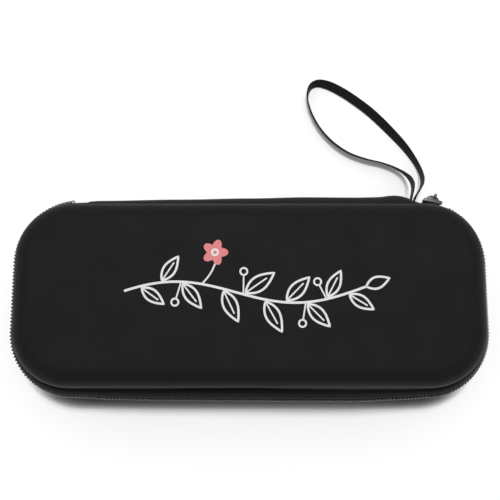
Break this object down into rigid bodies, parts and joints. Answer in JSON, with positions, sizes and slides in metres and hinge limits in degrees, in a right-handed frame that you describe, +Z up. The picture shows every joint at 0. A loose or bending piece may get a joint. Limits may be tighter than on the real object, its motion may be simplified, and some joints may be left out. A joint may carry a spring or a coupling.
{
  "type": "stethoscope hard case",
  "caption": "Moulded foam hard case for a stethoscope, with a hinged lid on a fabric spine, a zip round three sides, a net pocket and a wrist strap.",
  "frame": {"origin": "middle of the base's flat bottom face", "axes": "+X along the case's length, +Y back towards the spine, +Z up through the lid"},
  "size_m": [0.2842, 0.2065, 0.0561],
  "materials": {
    "skin": "smooth matt coated cloth, heat-pressed over the foam",
    "foam": "closed-cell moulded foam",
    "lining": "brushed knit",
    "binding": "ribbed binding tape",
    "zip_tape": "close woven polyester tape",
    "zip_teeth": "satin nylon",
    "net": "knitted net",
    "elastic": "ribbed elastic",
    "spine": "woven nylon",
    "strap": "woven ribbon",
    "slider_metal": "black painted cast zinc",
    "print_white": "screen-printed ink",
    "print_coral": "screen-printed ink"
  },
  "bodies": {
    "base": {"base_skin": "skin", "base_core": "foam", "base_lining": "lining", "base_binding": "binding", "base_zip_tape": "zip_tape", "base_zip_teeth": "zip_teeth", "spine_band": "spine", "spine_lining": "lining", "zip_end_left": "zip_tape", "zip_end_right": "zip_tape", "wrist_strap": "strap"},
    "lid": {"lid_skin": "skin", "lid_core": "foam", "lid_lining": "lining", "lid_binding": "binding", "lid_zip_tape": "zip_tape", "lid_zip_teeth": "zip_teeth", "net_pocket": "net", "net_hem": "elastic"},
    "slider": {"slider_body": "slider_metal", "slider_bail": "slider_metal"},
    "pull": {"zip_pull": "slider_metal"}
  },
  "joints": [
    {"name": "lid_hinge", "type": "hinge", "parent": "base", "child": "lid", "pos_m": [0, 0.05975, 0.028], "axis": [-1, 0, 0], "range_deg": [0, 180], "deforming": ["spine_band", "spine_lining", "zip_end_left", "zip_end_right", "wrist_strap"]},
    {"name": "slider_run", "type": "hinge", "parent": "base", "child": "slider", "pos_m": [0.103, 0.02025, 0.028], "axis": [0, 0, -1], "range_deg": [0, 62]},
    {"name": "pull_swing", "type": "hinge", "parent": "slider", "child": "pull", "pos_m": [0.1126, 0.06186, 0.028], "axis": [0.9744, -0.225, 0], "range_deg": [0, 150]}
  ]
}
